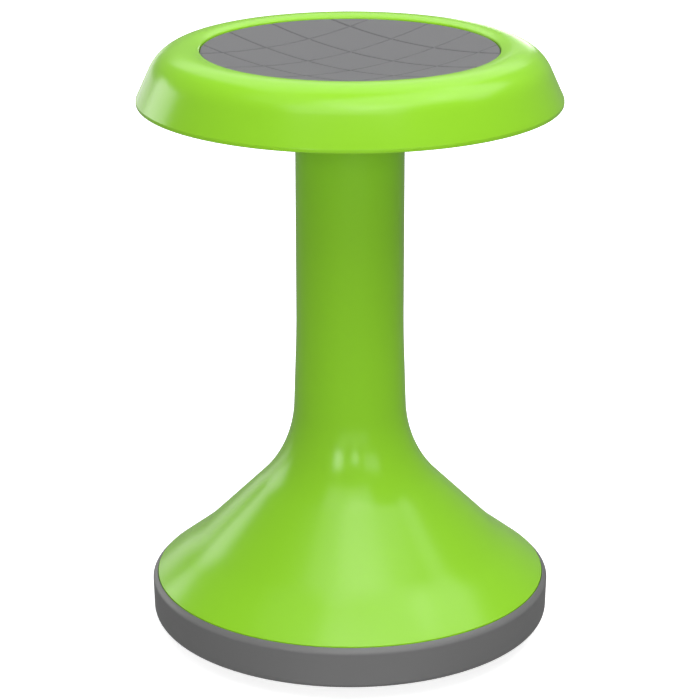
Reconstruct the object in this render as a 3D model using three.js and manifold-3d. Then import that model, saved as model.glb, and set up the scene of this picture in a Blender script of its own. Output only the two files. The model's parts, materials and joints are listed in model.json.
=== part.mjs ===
// Wobble stool: a padded round seat on a trumpet pedestal, standing on a convex rubber foot.
// Millimetres, +Z up. The origin is the middle of the foot's flat contact spot, on the floor.
// The stool rocks as one rigid body on the curve of its foot, so no piece turns or slides on another.
import * as THREE from "three";
import { mergeVertices } from "three/addons/utils/BufferGeometryUtils.js";
import Module from "manifold-3d";

const wasm = await Module();
wasm.setup();

// Driving dimensions
const GAP = 0.3; // clearance left between pieces that touch
const WALL = 4; // plastic wall thickness
const RIB = 2.6; // thickness of the moulded ribs
const ROUND_STEPS = 40; // sides of the large round pieces
const SMALL_STEPS = 10; // sides of screws, bores and bosses

// Seat
const SEAT_RADIUS = 160;
const SEAT_HEIGHT = 465; // floor to the crest of the rolled edge
const CREST_RADIUS = 122.3; // where the rolled edge is highest
const SHOULDER = 30.9; // outer roll
const CREST_ROLL = 26; // inner roll, down to the pad
const SKIRT_ANGLE = 24.5; // degrees off vertical
const LIP_BAND = 2.95; // height of the upright band under the skirt
const RECESS_RADIUS = 112;
const RECESS_FLOOR = 438; // top face of the recess floor
const WELL_RADIUS = 33.5; // screw well in the middle of the recess
const WELL_FLOOR = 428;
const SEAT_RIBS = 12;
const MARGIN = 1; // how far a cutting or joining shape runs past the face it meets

// Pad
const PAD_RADIUS = RECESS_RADIUS - GAP;
const PAD_EDGE = 462.3;
const PAD_DISH = 10; // depth of the dish in the middle
const PAD_SKIN = 3.5;
const PAD_ROUND = 0.8; // round of the rim
const BACKING = 3; // thickness of the plate behind the foam
const HOOKS = 4;
const HOOK = { radius: 93.5, width: 12, thickness: 3, reach: 6.3, tooth: 2.7 };
const HOOK_SLOT = { width: 14, inside: 1.5, outside: 4.7 };

// Pedestal
const COLUMN_RADIUS = 41.35;
const DRAFT_START = 243; // below this height the column widens
const DRAFT_ANGLE = 2; // degrees off vertical
const NECK_RADIUS = 96; // concave sweep between column and flare
const CONE_ANGLE = 45;
const CONE_SUM = 190.5; // radius plus height anywhere along the 45 degree cone
const FLARE_BEND = 170; // concave bend between the cone and the flatter flare
const FLARE_ANGLE = 52;
const FLARE_EDGE = 151.8; // radius where the flare meets the foot
const FLARE_EDGE_HEIGHT = 45.6;
const RIM_BOTTOM = 26;
const TOP_PLATE = 6; // thickness of the plate that closes the column
const TOP_PLATE_HOLE = 12;
const TOP_BOSS = { radius: 8, below: 13, bore: 9 }; // below and bore reach under the insert
const FLARE_BOSS = { radius: 7.5, top: 70, boreTop: 52 };
const GUSSET = { inside: 26, top: 100 }; // inside is how far it reaches inwards of its boss

// Foot and base
const FOOT_RADIUS = 155.9;
const FOOT_LOW_RADIUS = 155.15; // the side leans in a little towards the floor
const FOOT_SHOULDER = 41.2; // height where the chamfer starts
const FOOT_CORNER = 6.4; // round of the lower edge
const DOME_RADIUS = 930; // sphere that the stool rocks on
const FLAT_RADIUS = 25; // flat contact spot in the middle of the dome
const SOLE = 6; // rubber thickness under the base plate
const TREAD_RINGS = [45, 80, 115]; // radii of the grooves in the sole
const TREAD_DEPTH = 1.5;
const TREAD_HALF_WIDTH = 1.5;
const BASE_RIBS = 12;
const BASE_RIB_END = 135;
const UPSTAND_TOP = 36; // the base plate's rim stands inside the pedestal's edge
const HUB = { inner: 10, outer: 14 };
const BOLT_BOSS = { radius: 9, boreBottom: 12 };
const SCREW_BOSS = { radius: 9.5, bottom: 16.3, top: 30 };
const BASE_SCREW_SEAT = 22; // height that the base screws' heads press on
const HEAD_ROOM = 1; // round a base screw's head

// Fasteners
const SEAT_SCREWS = 4;
const SEAT_SCREW_CIRCLE = 24;
const BASE_SCREWS = 6;
const BASE_SCREW_CIRCLE = 128;
const BALLAST_BOLTS = 3;
const BALLAST_BOLT_CIRCLE = 50;
const SEAT_SCREW = { shank: 3, length: 26, head: 5.5, headHeight: 4, key: 2.5, washer: 7 };
const BASE_SCREW = { shank: 2.6, length: 28, head: 6, headHeight: 4, key: 2.5 };
const BALLAST_BOLT = { shank: 4, length: 20, head: 6.8, headHeight: 5.3, key: 3.4, washer: 9 };
const CHAMFER = 1; // of a screw's head
const PLAY = 0.45; // round a screw's shank where it passes through a piece
const WASHER = 1.2; // thickness
const INSERT = { outer: 4.6, height: 13.7, waist: 0.6 };

// Ballast
const BALLAST_RADIUS = 75;
const BALLAST_BORE = 16;
const BALLAST_THICKNESS = 10;
const BALLAST_CHAMFER = 2;
const BALLAST_SEAT = 20; // height of the ribs and bosses that carry it

const radians = THREE.MathUtils.degToRad;

// Materials
const finish = (color, roughness, metalness = 0) =>
  new THREE.MeshStandardMaterial({ color, roughness, metalness });
const greenPlastic = finish(0x8ed830, 0.38);
const greySkin = finish(0x88898b, 0.7);
const foam = finish(0xd8d2c0, 0.95);
const darkPlastic = finish(0x3a3b3d, 0.55);
const greyRubber = finish(0x676767, 0.75);
const castIron = finish(0x4a4a4c, 0.6, 0.8);
const steel = finish(0xb8babd, 0.35, 1);
const brass = finish(0xc9a24a, 0.35, 1);

// Points [r, z] along an arc, angles in degrees from the outward direction.
function arc(centre, radius, from, to, steps) {
  return Array.from({ length: steps + 1 }, (_, i) => {
    const angle = radians(from + ((to - from) * i) / steps);
    return [centre[0] + radius * Math.cos(angle), centre[1] + radius * Math.sin(angle)];
  });
}

// An outline through [r, z] corners. A third number rounds the corner with that radius, and a
// fourth is the number of steps in the arc.
function outline(corners) {
  return corners.flatMap(([r, z, radius = 0, steps = 4], i) => {
    const corner = new THREE.Vector2(r, z);
    if (!radius) return [corner];
    const [before, after] = [corners[i - 1], corners[i + 1]].map(([a, b]) =>
      new THREE.Vector2(a, b).sub(corner).normalize(),
    );
    const half = before.angleTo(after) / 2;
    const reach = radius / Math.tan(half);
    const middle = before.clone().add(after).normalize();
    const centre = middle.multiplyScalar(radius / Math.sin(half)).add(corner);
    const start = before.multiplyScalar(reach).add(corner).sub(centre);
    const end = after.multiplyScalar(reach).add(corner).sub(centre);
    const sweep = Math.atan2(start.cross(end), start.dot(end));
    return Array.from({ length: steps + 1 }, (_, k) =>
      start.clone().rotateAround(new THREE.Vector2(), (sweep * k) / steps).add(centre),
    );
  });
}

// A closed geometry as a solid that can be joined and cut.
function solidOf(geometry) {
  const bare = geometry.clone();
  bare.deleteAttribute("normal");
  bare.deleteAttribute("uv");
  const merged = mergeVertices(bare, 1e-4);
  const corners = [];
  for (let i = 0; i < merged.index.count; i += 3) {
    const [a, b, c] = merged.index.array.slice(i, i + 3);
    if (a !== b && b !== c && c !== a) corners.push(a, b, c);
  }
  return new wasm.Manifold(
    new wasm.Mesh({
      numProp: 3,
      vertProperties: merged.attributes.position.array,
      triVerts: new Uint32Array(corners),
    }),
  );
}

// A ring or disc turned round the vertical axis from an outline of [r, z] corners.
function turned(corners, steps = ROUND_STEPS) {
  const points = outline(corners);
  if (THREE.ShapeUtils.area(points) < 0) points.reverse();
  points.push(points[0].clone());
  return solidOf(new THREE.LatheGeometry(points, steps).rotateX(Math.PI / 2));
}

// An upright cylinder between two heights.
function post(radius, bottom, top, steps = SMALL_STEPS) {
  return turned([[0, bottom], [radius, bottom], [radius, top], [0, top]], steps);
}

// A box between two radii and two heights, along +X.
function bar(width, from, to, bottom, top) {
  const geometry = new THREE.BoxGeometry(to - from, width, top - bottom);
  return solidOf(geometry.translate((from + to) / 2, 0, (bottom + top) / 2));
}

// The angles, in degrees, of count copies round the axis.
const spaced = (count, offset = 0) =>
  Array.from({ length: count }, (_, i) => offset + (360 * i) / count);

// Copies of a solid round the axis, joined into one.
function ring(solid, angles) {
  return angles.map((angle) => solid.rotate([0, 0, angle])).reduce((all, one) => all.add(one));
}

const seatScrewAngles = spaced(SEAT_SCREWS, 45);
const baseScrewAngles = spaced(BASE_SCREWS);
const ballastBoltAngles = spaced(BALLAST_BOLTS, 30);
const hookAngles = spaced(HOOKS, 30);
const seatRibAngles = spaced(SEAT_RIBS, 15);

// Height of the convex underside at a radius.
const sphereRise = (r) => DOME_RADIUS - Math.sqrt(DOME_RADIUS ** 2 - r ** 2);
const domeHeight = (r) => Math.max(0, sphereRise(r) - sphereRise(FLAT_RADIUS));
// The dome as outline points, lifted by a thickness.
const dome = (radii, lift) => radii.map((r) => [r, domeHeight(r) + lift]);

const DOME_STATIONS = [0, FLAT_RADIUS, 60, 95, 130];

// The rolled edge of the seat, from the skirt's foot to the recess, moved inwards by inset.
function rolledEdge(inset, innerRadius, lipRadius, steps) {
  const shoulder = [CREST_RADIUS, SEAT_HEIGHT - SHOULDER];
  const crest = [CREST_RADIUS, SEAT_HEIGHT - CREST_ROLL];
  const roll = CREST_ROLL - inset;
  const last = THREE.MathUtils.radToDeg(Math.acos((innerRadius - CREST_RADIUS) / roll));
  const outer = arc(shoulder, SHOULDER - inset, SKIRT_ANGLE, 90, steps);
  const drop = (lipRadius - outer[0][0]) / Math.tan(radians(SKIRT_ANGLE));
  const inner = arc(crest, roll, 90, last, 3).slice(1);
  return [[lipRadius, outer[0][1] - drop], ...outer, ...inner];
}

function seatShell() {
  const outside = rolledEdge(0, RECESS_RADIUS, SEAT_RADIUS, 8);
  const lip = outside[0][1] - LIP_BAND;
  const inside = rolledEdge(WALL, RECESS_RADIUS + WALL, SEAT_RADIUS - WALL, 5);
  const underside = RECESS_FLOOR - WALL;
  const wellBottom = WELL_FLOOR - WALL;
  const socket = COLUMN_RADIUS + GAP;
  const wellOuter = COLUMN_RADIUS - WALL - GAP;
  const shell = turned([
    [0, wellBottom],
    [wellOuter, wellBottom],
    [wellOuter, underside],
    [socket, underside],
    [socket, wellBottom],
    [socket + WALL, wellBottom],
    [socket + WALL, underside],
    [RECESS_RADIUS + WALL, underside],
    ...inside.reverse(),
    [SEAT_RADIUS - WALL, lip],
    [SEAT_RADIUS, lip],
    ...outside,
    [RECESS_RADIUS, RECESS_FLOOR],
    [WELL_RADIUS, RECESS_FLOOR],
    [WELL_RADIUS, WELL_FLOOR],
    [0, WELL_FLOOR],
  ]);
  // Radial ribs run from the socket to the skirt, under the floor and inside the rolled edge.
  const ribBottom = lip + WALL;
  const middle = RECESS_FLOOR - WALL / 2;
  const room = turned([
    [socket + WALL / 2, ribBottom],
    [SEAT_RADIUS - WALL / 2, ribBottom],
    ...rolledEdge(WALL / 2, RECESS_RADIUS + WALL / 2, SEAT_RADIUS - WALL / 2, 5),
    [RECESS_RADIUS + WALL / 2, middle],
    [socket + WALL / 2, middle],
  ]);
  const rib = bar(RIB, socket, SEAT_RADIUS, ribBottom, SEAT_HEIGHT);
  const ribs = ring(rib, seatRibAngles).intersect(room);
  const screwHole = post(SEAT_SCREW.shank + PLAY, wellBottom - MARGIN, WELL_FLOOR + MARGIN);
  const slotStart = HOOK.radius - HOOK_SLOT.inside;
  const slotEnd = HOOK.radius + HOOK_SLOT.outside;
  const slotBottom = underside - MARGIN;
  const hookSlot = bar(HOOK_SLOT.width, slotStart, slotEnd, slotBottom, RECESS_FLOOR + MARGIN);
  return shell
    .add(ribs)
    .subtract(ring(screwHole.translate([SEAT_SCREW_CIRCLE, 0, 0]), seatScrewAngles))
    .subtract(ring(hookSlot, hookAngles));
}

// Height of the pad's dished top at a radius.
const padTop = (r) => PAD_EDGE - PAD_DISH * (1 - (r / PAD_RADIUS) ** 2);
const PAD_STATIONS = [0, 0.25, 0.45, 0.65, 0.82].map((share) => share * PAD_RADIUS);
const BACKING_BOTTOM = RECESS_FLOOR + GAP;
const BACKING_TOP = BACKING_BOTTOM + BACKING;

function seatPad() {
  const inner = PAD_RADIUS - PAD_SKIN;
  const under = [...PAD_STATIONS, inner].map((r) => [r, padTop(r) - PAD_SKIN]);
  return turned([
    ...PAD_STATIONS.map((r) => [r, padTop(r)]),
    [PAD_RADIUS, padTop(PAD_RADIUS), PAD_ROUND, 2],
    [PAD_RADIUS, BACKING_TOP + GAP],
    [inner, BACKING_TOP + GAP],
    ...under.reverse(),
  ]);
}

function padFoam() {
  const edge = PAD_RADIUS - PAD_SKIN - GAP;
  const top = [...PAD_STATIONS, edge].map((r) => [r, padTop(r) - PAD_SKIN - GAP]);
  return turned([...top, [edge, BACKING_TOP + GAP], [0, BACKING_TOP + GAP]]);
}

function padBackingPlate() {
  const disc = post(PAD_RADIUS, BACKING_BOTTOM, BACKING_TOP, ROUND_STEPS);
  const { radius, width, thickness, reach } = HOOK;
  const catchTop = RECESS_FLOOR - WALL - GAP;
  const tip = catchTop - HOOK.tooth;
  const leg = bar(width, radius, radius + thickness, tip, BACKING_BOTTOM + MARGIN);
  const tooth = bar(width, radius + thickness - MARGIN, radius + reach, tip, catchTop);
  return disc.add(ring(leg.add(tooth), hookAngles));
}

// Where two lines in the [r, z] plane meet. Each is a point and an angle off vertical, downwards.
function meet(p, angleP, q, angleQ) {
  const slopeP = Math.tan(radians(angleP));
  const slopeQ = Math.tan(radians(angleQ));
  const z = (p[0] + slopeP * p[1] - q[0] - slopeQ * q[1]) / (slopeP - slopeQ);
  return [p[0] + slopeP * (p[1] - z), z];
}

// The pedestal's outline from the column's top to the flare's edge, moved inwards by inset.
function trumpet(inset, top, edgeRadius) {
  const shift = ([r, z], angle) => [
    r - inset * Math.cos(radians(angle)),
    z - inset * Math.sin(radians(angle)),
  ];
  const draft = shift([COLUMN_RADIUS, DRAFT_START], DRAFT_ANGLE);
  const cone = shift([CONE_SUM / 2, CONE_SUM / 2], CONE_ANGLE);
  const flare = shift([FLARE_EDGE, FLARE_EDGE_HEIGHT], FLARE_ANGLE);
  return [
    [COLUMN_RADIUS - inset, top],
    meet([COLUMN_RADIUS - inset, top], 0, draft, DRAFT_ANGLE),
    [...meet(draft, DRAFT_ANGLE, cone, CONE_ANGLE), NECK_RADIUS + inset, 7],
    [...meet(cone, CONE_ANGLE, flare, FLARE_ANGLE), FLARE_BEND + inset, 2],
    meet([edgeRadius, 0], 0, flare, FLARE_ANGLE),
  ];
}

const COLUMN_TOP = RECESS_FLOOR - WALL - GAP;
const PLATE_TOP = WELL_FLOOR - WALL - GAP;

function pedestalShell() {
  const plateBottom = PLATE_TOP - TOP_PLATE;
  const inner = COLUMN_RADIUS - WALL;
  const shell = turned([
    ...trumpet(0, COLUMN_TOP, FLARE_EDGE),
    [FLARE_EDGE, RIM_BOTTOM],
    [FLARE_EDGE - WALL, RIM_BOTTOM],
    ...trumpet(WALL, plateBottom, FLARE_EDGE - WALL).reverse(),
    [TOP_PLATE_HOLE, plateBottom],
    [TOP_PLATE_HOLE, PLATE_TOP],
    [inner, PLATE_TOP],
    [inner, COLUMN_TOP],
  ]);
  // Bosses under the top plate hold the brass inserts.
  const insertBottom = PLATE_TOP - GAP - INSERT.height;
  const topBoss = post(TOP_BOSS.radius, insertBottom - TOP_BOSS.below, PLATE_TOP - MARGIN);
  const boreBottom = insertBottom - TOP_BOSS.bore;
  const insertBore = turned(
    [
      [0, boreBottom],
      [SEAT_SCREW.shank + PLAY, boreBottom],
      [SEAT_SCREW.shank + PLAY, insertBottom - GAP],
      [INSERT.outer + GAP, insertBottom - GAP],
      [INSERT.outer + GAP, PLATE_TOP + MARGIN],
      [0, PLATE_TOP + MARGIN],
    ],
    SMALL_STEPS,
  );
  // Bosses and gussets under the flare take the base screws.
  const bossBottom = SCREW_BOSS.top + GAP;
  const flareBoss = post(FLARE_BOSS.radius, bossBottom, FLARE_BOSS.top);
  const gussetStart = BASE_SCREW_CIRCLE - GUSSET.inside;
  const gusset = bar(RIB, gussetStart, FLARE_EDGE - WALL / 2, UPSTAND_TOP + WALL, GUSSET.top);
  const room = turned([
    [0, bossBottom],
    [FLARE_EDGE - WALL / 2, bossBottom],
    ...trumpet(WALL / 2, COLUMN_TOP, FLARE_EDGE - WALL / 2).reverse(),
    [0, COLUMN_TOP],
  ]);
  const support = flareBoss.translate([BASE_SCREW_CIRCLE, 0, 0]).add(gusset);
  const supports = ring(support, baseScrewAngles).intersect(room);
  const screwBore = post(BASE_SCREW.shank + GAP, bossBottom - MARGIN, FLARE_BOSS.boreTop);
  return shell
    .add(ring(topBoss.translate([SEAT_SCREW_CIRCLE, 0, 0]), seatScrewAngles))
    .subtract(ring(insertBore.translate([SEAT_SCREW_CIRCLE, 0, 0]), seatScrewAngles))
    .add(supports)
    .subtract(ring(screwBore.translate([BASE_SCREW_CIRCLE, 0, 0]), baseScrewAngles));
}

// The rubber foot snaps over the base plate with a bead that sits in the plate's groove.
const BEAD = { top: 24.5, bottom: 20.5, depth: 1.5 };

function rubberFoot() {
  const bore = FLARE_EDGE + GAP;
  const treadGroove = (r) => [
    [r - TREAD_HALF_WIDTH, domeHeight(r)],
    [r - TREAD_HALF_WIDTH, domeHeight(r) + TREAD_DEPTH],
    [r + TREAD_HALF_WIDTH, domeHeight(r) + TREAD_DEPTH],
    [r + TREAD_HALF_WIDTH, domeHeight(r)],
  ];
  const lastStation = 140;
  return turned([
    [0, 0],
    [FLAT_RADIUS, 0],
    ...TREAD_RINGS.flatMap(treadGroove),
    [lastStation, domeHeight(lastStation)],
    [FOOT_LOW_RADIUS, domeHeight(FOOT_LOW_RADIUS), FOOT_CORNER, 4],
    [FOOT_RADIUS, FOOT_SHOULDER, 1.2, 2],
    [bore, FLARE_EDGE_HEIGHT - GAP],
    [bore, BEAD.top],
    [bore - BEAD.depth, BEAD.top - BEAD.depth / 2],
    [bore - BEAD.depth, BEAD.bottom + BEAD.depth / 2],
    [bore, BEAD.bottom],
    ...dome([...DOME_STATIONS, bore], SOLE).reverse(),
  ]);
}

const BASE_LIFT = SOLE + GAP; // of the base plate's underside above the dome

function basePlate() {
  const rim = FLARE_EDGE;
  const upstand = FLARE_EDGE - WALL - GAP;
  const groove = rim - BEAD.depth;
  const shell = turned([
    ...dome([...DOME_STATIONS, rim], BASE_LIFT),
    [rim, BEAD.bottom - GAP],
    [groove, BEAD.bottom - GAP + BEAD.depth / 2],
    [groove, BEAD.top + GAP - BEAD.depth / 2],
    [rim, BEAD.top + GAP],
    [rim, RIM_BOTTOM - GAP],
    [upstand, RIM_BOTTOM - GAP],
    [upstand, UPSTAND_TOP],
    [upstand - WALL, UPSTAND_TOP],
    ...dome([...DOME_STATIONS, upstand - WALL], BASE_LIFT + WALL).reverse(),
  ]);
  const floor = BASE_LIFT + WALL / 2;
  const hub = turned([
    [HUB.inner, floor],
    [HUB.outer, floor],
    [HUB.outer, BALLAST_SEAT],
    [HUB.inner, BALLAST_SEAT],
  ]);
  const rib = bar(RIB, HUB.outer - MARGIN, BASE_RIB_END, floor, BALLAST_SEAT);
  const ribs = ring(rib, spaced(BASE_RIBS, 15));
  const underPlate = turned([
    [0, -MARGIN],
    [FOOT_RADIUS, -MARGIN],
    ...dome([...DOME_STATIONS, rim].reverse(), floor),
  ]);
  const boltBoss = post(BOLT_BOSS.radius, floor, BALLAST_SEAT);
  const boltBore = post(BALLAST_BOLT.shank + GAP, BOLT_BOSS.boreBottom, BALLAST_SEAT + MARGIN);
  const screwBoss = post(SCREW_BOSS.radius, SCREW_BOSS.bottom, SCREW_BOSS.top);
  const screwHole = post(BASE_SCREW.shank + PLAY, 0, SCREW_BOSS.top + MARGIN);
  const headRoom = post(BASE_SCREW.head + HEAD_ROOM, 0, BASE_SCREW_SEAT);
  const screwCut = screwHole.add(headRoom).translate([BASE_SCREW_CIRCLE, 0, 0]);
  const extras = hub
    .add(ribs)
    .add(ring(boltBoss.translate([BALLAST_BOLT_CIRCLE, 0, 0]), ballastBoltAngles))
    .add(ring(screwBoss.translate([BASE_SCREW_CIRCLE, 0, 0]), baseScrewAngles))
    .subtract(underPlate);
  return shell
    .add(extras)
    .subtract(ring(boltBore.translate([BALLAST_BOLT_CIRCLE, 0, 0]), ballastBoltAngles))
    .subtract(ring(screwCut, baseScrewAngles));
}

function ballastDisc() {
  const bottom = BALLAST_SEAT + GAP;
  const top = bottom + BALLAST_THICKNESS;
  const hole = post(BALLAST_BOLT.shank + PLAY, bottom - MARGIN, top + MARGIN);
  return turned([
    [BALLAST_BORE, bottom],
    [BALLAST_RADIUS, bottom],
    [BALLAST_RADIUS, top - BALLAST_CHAMFER],
    [BALLAST_RADIUS - BALLAST_CHAMFER, top],
    [BALLAST_BORE, top],
  ]).subtract(ring(hole.translate([BALLAST_BOLT_CIRCLE, 0, 0]), ballastBoltAngles));
}

// A screw that points down from z = 0, with its head above and a hexagon socket in the head.
function screw({ shank, length, head, headHeight, key }) {
  const body = turned(
    [
      [0, -length],
      [shank / 2, -length],
      [shank, -length + shank],
      [shank, 0],
      [head, 0],
      [head, headHeight - CHAMFER],
      [head - CHAMFER, headHeight],
      [0, headHeight],
    ],
    SMALL_STEPS,
  );
  const socket = post(key, headHeight / 2, headHeight + MARGIN, 6);
  return body.subtract(socket);
}

// A flat ring for under a screw's head, from z = 0 up.
function washer({ shank, washer: outer }) {
  const bore = shank + GAP;
  return turned([[bore, 0], [outer, 0], [outer, WASHER], [bore, WASHER]], SMALL_STEPS);
}

// A threaded insert's body, from z = 0 up, with the waist that holds it in the plastic.
function threadedInsert() {
  const { outer, height, waist } = INSERT;
  const bore = SEAT_SCREW.shank + GAP;
  const middle = height / 2;
  return turned(
    [
      [bore, 0],
      [outer, 0],
      [outer, middle - 2 * waist],
      [outer - waist, middle - waist],
      [outer - waist, middle + waist],
      [outer, middle + 2 * waist],
      [outer, height],
      [bore, height],
    ],
    SMALL_STEPS,
  );
}

// The assembly
const stool = new THREE.Group();

function geometryOf(solid) {
  const made = solid.getMesh();
  const geometry = new THREE.BufferGeometry();
  geometry.setAttribute("position", new THREE.BufferAttribute(made.vertProperties, 3));
  geometry.setIndex(new THREE.BufferAttribute(made.triVerts, 1));
  geometry.computeVertexNormals();
  return geometry;
}

function place(name, solid, material, parent = stool) {
  const mesh = new THREE.Mesh(geometryOf(solid), material);
  mesh.name = name;
  parent.add(mesh);
  return mesh;
}

// One copy at each angle of a circle, numbered from 1. Turned over, the solid points up.
function placeRing(name, solid, material, { angles, circle, height, turnedOver = false }) {
  angles.forEach((angle, i) => {
    const arm = new THREE.Group();
    arm.rotation.z = radians(angle);
    stool.add(arm);
    const mesh = place(`${name}_${i + 1}`, solid, material, arm);
    mesh.position.set(circle, 0, height);
    mesh.rotation.x = turnedOver ? Math.PI : 0;
  });
}

place("seat_shell", seatShell(), greenPlastic);
place("seat_pad", seatPad(), greySkin);
place("pad_foam", padFoam(), foam);
place("pad_backing_plate", padBackingPlate(), darkPlastic);
place("pedestal_shell", pedestalShell(), greenPlastic);
place("base_plate", basePlate(), darkPlastic);
place("rubber_foot", rubberFoot(), greyRubber);
place("ballast_disc", ballastDisc(), castIron);

const seatWasherBottom = WELL_FLOOR + GAP;
placeRing("seat_screw", screw(SEAT_SCREW), steel, {
  angles: seatScrewAngles,
  circle: SEAT_SCREW_CIRCLE,
  height: seatWasherBottom + WASHER + GAP,
});
placeRing("seat_washer", washer(SEAT_SCREW), steel, {
  angles: seatScrewAngles,
  circle: SEAT_SCREW_CIRCLE,
  height: seatWasherBottom,
});
placeRing("seat_insert", threadedInsert(), brass, {
  angles: seatScrewAngles,
  circle: SEAT_SCREW_CIRCLE,
  height: PLATE_TOP - GAP - INSERT.height,
});

placeRing("base_screw", screw(BASE_SCREW), steel, {
  angles: baseScrewAngles,
  circle: BASE_SCREW_CIRCLE,
  height: BASE_SCREW_SEAT - GAP,
  turnedOver: true,
});

const ballastWasherBottom = BALLAST_SEAT + BALLAST_THICKNESS + 2 * GAP;
placeRing("ballast_bolt", screw(BALLAST_BOLT), steel, {
  angles: ballastBoltAngles,
  circle: BALLAST_BOLT_CIRCLE,
  height: ballastWasherBottom + WASHER + GAP,
});
placeRing("ballast_washer", washer(BALLAST_BOLT), steel, {
  angles: ballastBoltAngles,
  circle: BALLAST_BOLT_CIRCLE,
  height: ballastWasherBottom,
});

export default stool;
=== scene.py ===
"""Wobble stool: the looks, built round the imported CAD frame. Metres, +Z up, floor at z = 0."""
import json
import math

import bmesh
import bpy
from mathutils import Matrix, Vector, noise

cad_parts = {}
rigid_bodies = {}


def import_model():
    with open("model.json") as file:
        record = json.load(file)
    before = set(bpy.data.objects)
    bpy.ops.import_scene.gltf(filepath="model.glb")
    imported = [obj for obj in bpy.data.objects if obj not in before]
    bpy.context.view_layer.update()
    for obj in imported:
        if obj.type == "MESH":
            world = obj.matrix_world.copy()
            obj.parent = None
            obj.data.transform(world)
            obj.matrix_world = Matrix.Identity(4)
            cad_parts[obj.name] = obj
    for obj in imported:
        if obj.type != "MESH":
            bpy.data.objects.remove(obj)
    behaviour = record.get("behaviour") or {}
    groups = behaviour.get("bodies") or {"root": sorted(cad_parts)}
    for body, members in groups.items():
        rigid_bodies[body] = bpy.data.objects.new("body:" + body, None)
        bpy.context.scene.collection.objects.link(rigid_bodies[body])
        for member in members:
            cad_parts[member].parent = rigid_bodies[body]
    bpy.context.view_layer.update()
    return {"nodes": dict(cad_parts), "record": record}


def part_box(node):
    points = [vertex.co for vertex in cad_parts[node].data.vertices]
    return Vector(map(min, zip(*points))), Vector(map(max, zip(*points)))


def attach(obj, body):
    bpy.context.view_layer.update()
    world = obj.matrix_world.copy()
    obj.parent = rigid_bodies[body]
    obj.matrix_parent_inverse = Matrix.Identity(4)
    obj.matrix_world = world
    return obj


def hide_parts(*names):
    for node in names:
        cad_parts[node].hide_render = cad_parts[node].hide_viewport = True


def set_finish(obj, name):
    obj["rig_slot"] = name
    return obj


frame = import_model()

MM = 0.001
SIDES = 256  # round steps of the large smooth pieces
SMALL_SIDES = 48  # round steps of holes and bosses
SHARP = math.radians(32)  # edges steeper than this stay crisp
WELD = 0.002 * MM  # points closer than this become one

# Clearances and walls, as in the CAD model
GAP = 0.3 * MM
WALL = 4 * MM
RIB = 2.6 * MM

# Seat, from the frame and the CAD model's driving dimensions
seat_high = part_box("seat_shell")[1]
SEAT_RADIUS = seat_high.x
SEAT_TOP = seat_high.z
LIP = 422.95 * MM
CREST_RADIUS = 122.3 * MM
SHOULDER = 30.9 * MM
CREST_ROLL = 26 * MM
SKIRT_ANGLE = math.radians(24.5)
RECESS_RADIUS = 112 * MM
RECESS_FLOOR = 438 * MM
WELL_RADIUS = 33.5 * MM
WELL_FLOOR = 428 * MM
SCREW_CIRCLE = 24 * MM
SCREW_TURN = 45  # where a ring of copies starts, in degrees
SCREW_HOLE = 3.45 * MM
SEAT_RIBS, SEAT_RIB_TURN = 12, 15

# Hooks behind the pad, and the slots that they pass through
HOOKS, HOOK_TURN = 4, 30
HOOK_WIDTH = 12 * MM
HOOK_START = 93.5 * MM
HOOK_THICKNESS = 3 * MM
HOOK_REACH = 6.3 * MM
SLOT_WIDTH = 14 * MM
SLOT_START, SLOT_END = 92 * MM, 98.2 * MM

# Pad
PAD_RADIUS = RECESS_RADIUS - GAP
PAD_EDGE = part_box("seat_pad")[1].z
PAD_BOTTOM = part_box("seat_pad")[0].z
PAD_DISH = 10 * MM
PAD_SKIN = 3.5 * MM
PAD_ROUND = 1.3 * MM
GROOVE_PITCH = 44.7 * MM
GROOVE_HALF_WIDTH = 1.1 * MM
GROOVE_DEPTH = 0.9 * MM

# Pedestal
pedestal_low, pedestal_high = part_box("pedestal_shell")
COLUMN_RADIUS = 41.35 * MM
COLUMN_TOP = pedestal_high.z
DRAFT_START = 243 * MM
DRAFT_ANGLE = math.radians(2)
NECK_RADIUS = 96 * MM
CONE_ANGLE = math.radians(45)
CONE_SUM = 190.5 * MM
FLARE_BEND = 170 * MM
FLARE_ANGLE = math.radians(52)
FLARE_EDGE = pedestal_high.x
FLARE_EDGE_HEIGHT = 45.6 * MM
RIM_BOTTOM = pedestal_low.z
PLATE_TOP = WELL_FLOOR - WALL - GAP
TOP_PLATE = 6 * MM
TOP_PLATE_HOLE = 12 * MM
TOP_BOSS_RADIUS = 8 * MM
TOP_BOSS_DEPTH = 13 * MM  # below the inserts
SHANK_DEPTH = 9 * MM  # below the inserts
INSERT_DEPTH = 13.7 * MM
INSERT_POCKET = 4.9 * MM
SUPPORT_RADIUS = 7.5 * MM
SUPPORT_BOTTOM, SUPPORT_TOP = 30.3 * MM, 70 * MM
SUPPORT_BORE, SUPPORT_BORE_TOP = 2.9 * MM, 52 * MM
GUSSET_REACH = 26 * MM
GUSSET_BOTTOM, GUSSET_TOP = 40 * MM, 100 * MM

# Foot
FOOT_RADIUS = 155.9 * MM
FOOT_LOW_RADIUS = 155.15 * MM
FOOT_SHOULDER = 41.2 * MM
FOOT_CORNER = 6.4 * MM
DOME_RADIUS = 930 * MM
FLAT_RADIUS = 25 * MM
SOLE = 6 * MM
TREAD_DEPTH = 1.5 * MM
TREAD_RINGS = (45 * MM, 80 * MM, 115 * MM)
TREAD_HALF_WIDTH = 1.5 * MM
SIPES = 48
SIPE_WIDTH = 1.2 * MM
SIPE_DEPTH = 1 * MM

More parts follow.
